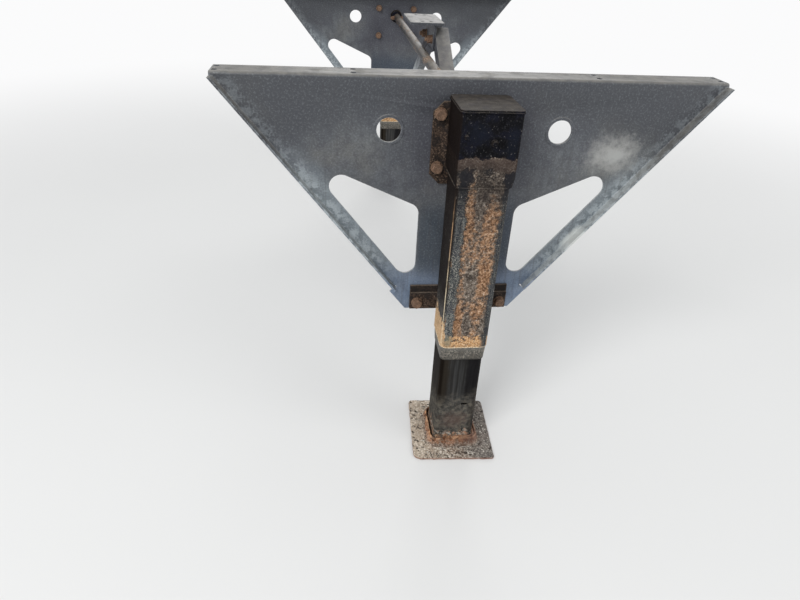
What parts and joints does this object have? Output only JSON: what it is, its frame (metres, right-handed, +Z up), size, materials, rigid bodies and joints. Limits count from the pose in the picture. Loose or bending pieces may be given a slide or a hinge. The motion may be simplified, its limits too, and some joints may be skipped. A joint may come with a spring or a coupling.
{
  "type": "semi trailer landing gear set",
  "caption": "Landing gear set of a box semi trailer: telescoping square legs on wing plates, sand shoe feet, side braces, cross shaft, gearbox and fold-away crank.",
  "frame": {"origin": "centre of the centre pad's top face, on the trailer's centre plane, at the underside of its crossmembers; the ground is 1.02 m below", "axes": "+X forward along the trailer, +Y to its left, which is the road side with the crank, +Z up"},
  "size_m": [1.2066, 2.6446, 1.02],
  "materials": {
    "black_paint": "black paint worn through to orange rust",
    "inner_leg": "dark greased steel, streaked",
    "worn_collar": "worn grey steel",
    "foot_steel": "pitted, dusty steel",
    "foot_rust": "rusted steel",
    "rusty_steel": "rusted hot rolled steel",
    "galvanised": "hot dip galvanised, dull",
    "bare_shaft": "greased bare steel",
    "zinc_bolts": "zinc plated, dulled",
    "zinc_crank": "zinc plated, scuffed"
  },
  "bodies": {
    "gear": {"curb_outer_tube": "black_paint", "curb_guide_collar": "worn_collar", "curb_inner_tube": "inner_leg", "curb_foot_plate": "foot_steel", "curb_foot_ring": "foot_rust", "curb_gear_head": "black_paint", "curb_head_cap": "black_paint", "curb_upper_bracket": "rusty_steel", "curb_lower_ear": "rusty_steel", "curb_wing_plate": "galvanised", "curb_brace_clip": "rusty_steel", "curb_side_brace": "galvanised", "curb_drive_stub": "bare_shaft", "road_outer_tube": "black_paint", "road_guide_collar": "worn_collar", "road_inner_tube": "inner_leg", "road_foot_plate": "foot_steel", "road_foot_ring": "foot_rust", "road_gear_head": "black_paint", "road_head_cap": "black_paint", "road_upper_bracket": "rusty_steel", "road_lower_ear": "rusty_steel", "road_wing_plate": "galvanised", "road_brace_clip": "rusty_steel", "road_side_brace": "galvanised", "road_drive_stub": "bare_shaft", "centre_pad": "galvanised", "cross_shaft": "black_paint", "gearbox": "black_paint", "gearbox_cover": "black_paint"},
    "input": {"input_shaft": "bare_shaft", "crank_pivot_bolt": "zinc_bolts"},
    "crank_arm": {"crank": "zinc_crank"}
  },
  "joints": [
    {"name": "crank_turn", "type": "hinge", "parent": "gear", "child": "input", "pos_m": [0, 1.212, -0.175], "axis": [0, 1, 0], "continuous": true},
    {"name": "crank_fold", "type": "hinge", "parent": "input", "child": "crank_arm", "pos_m": [0, 1.312, -0.175], "axis": [1, 0, 0], "range_deg": [0, 180]}
  ]
}
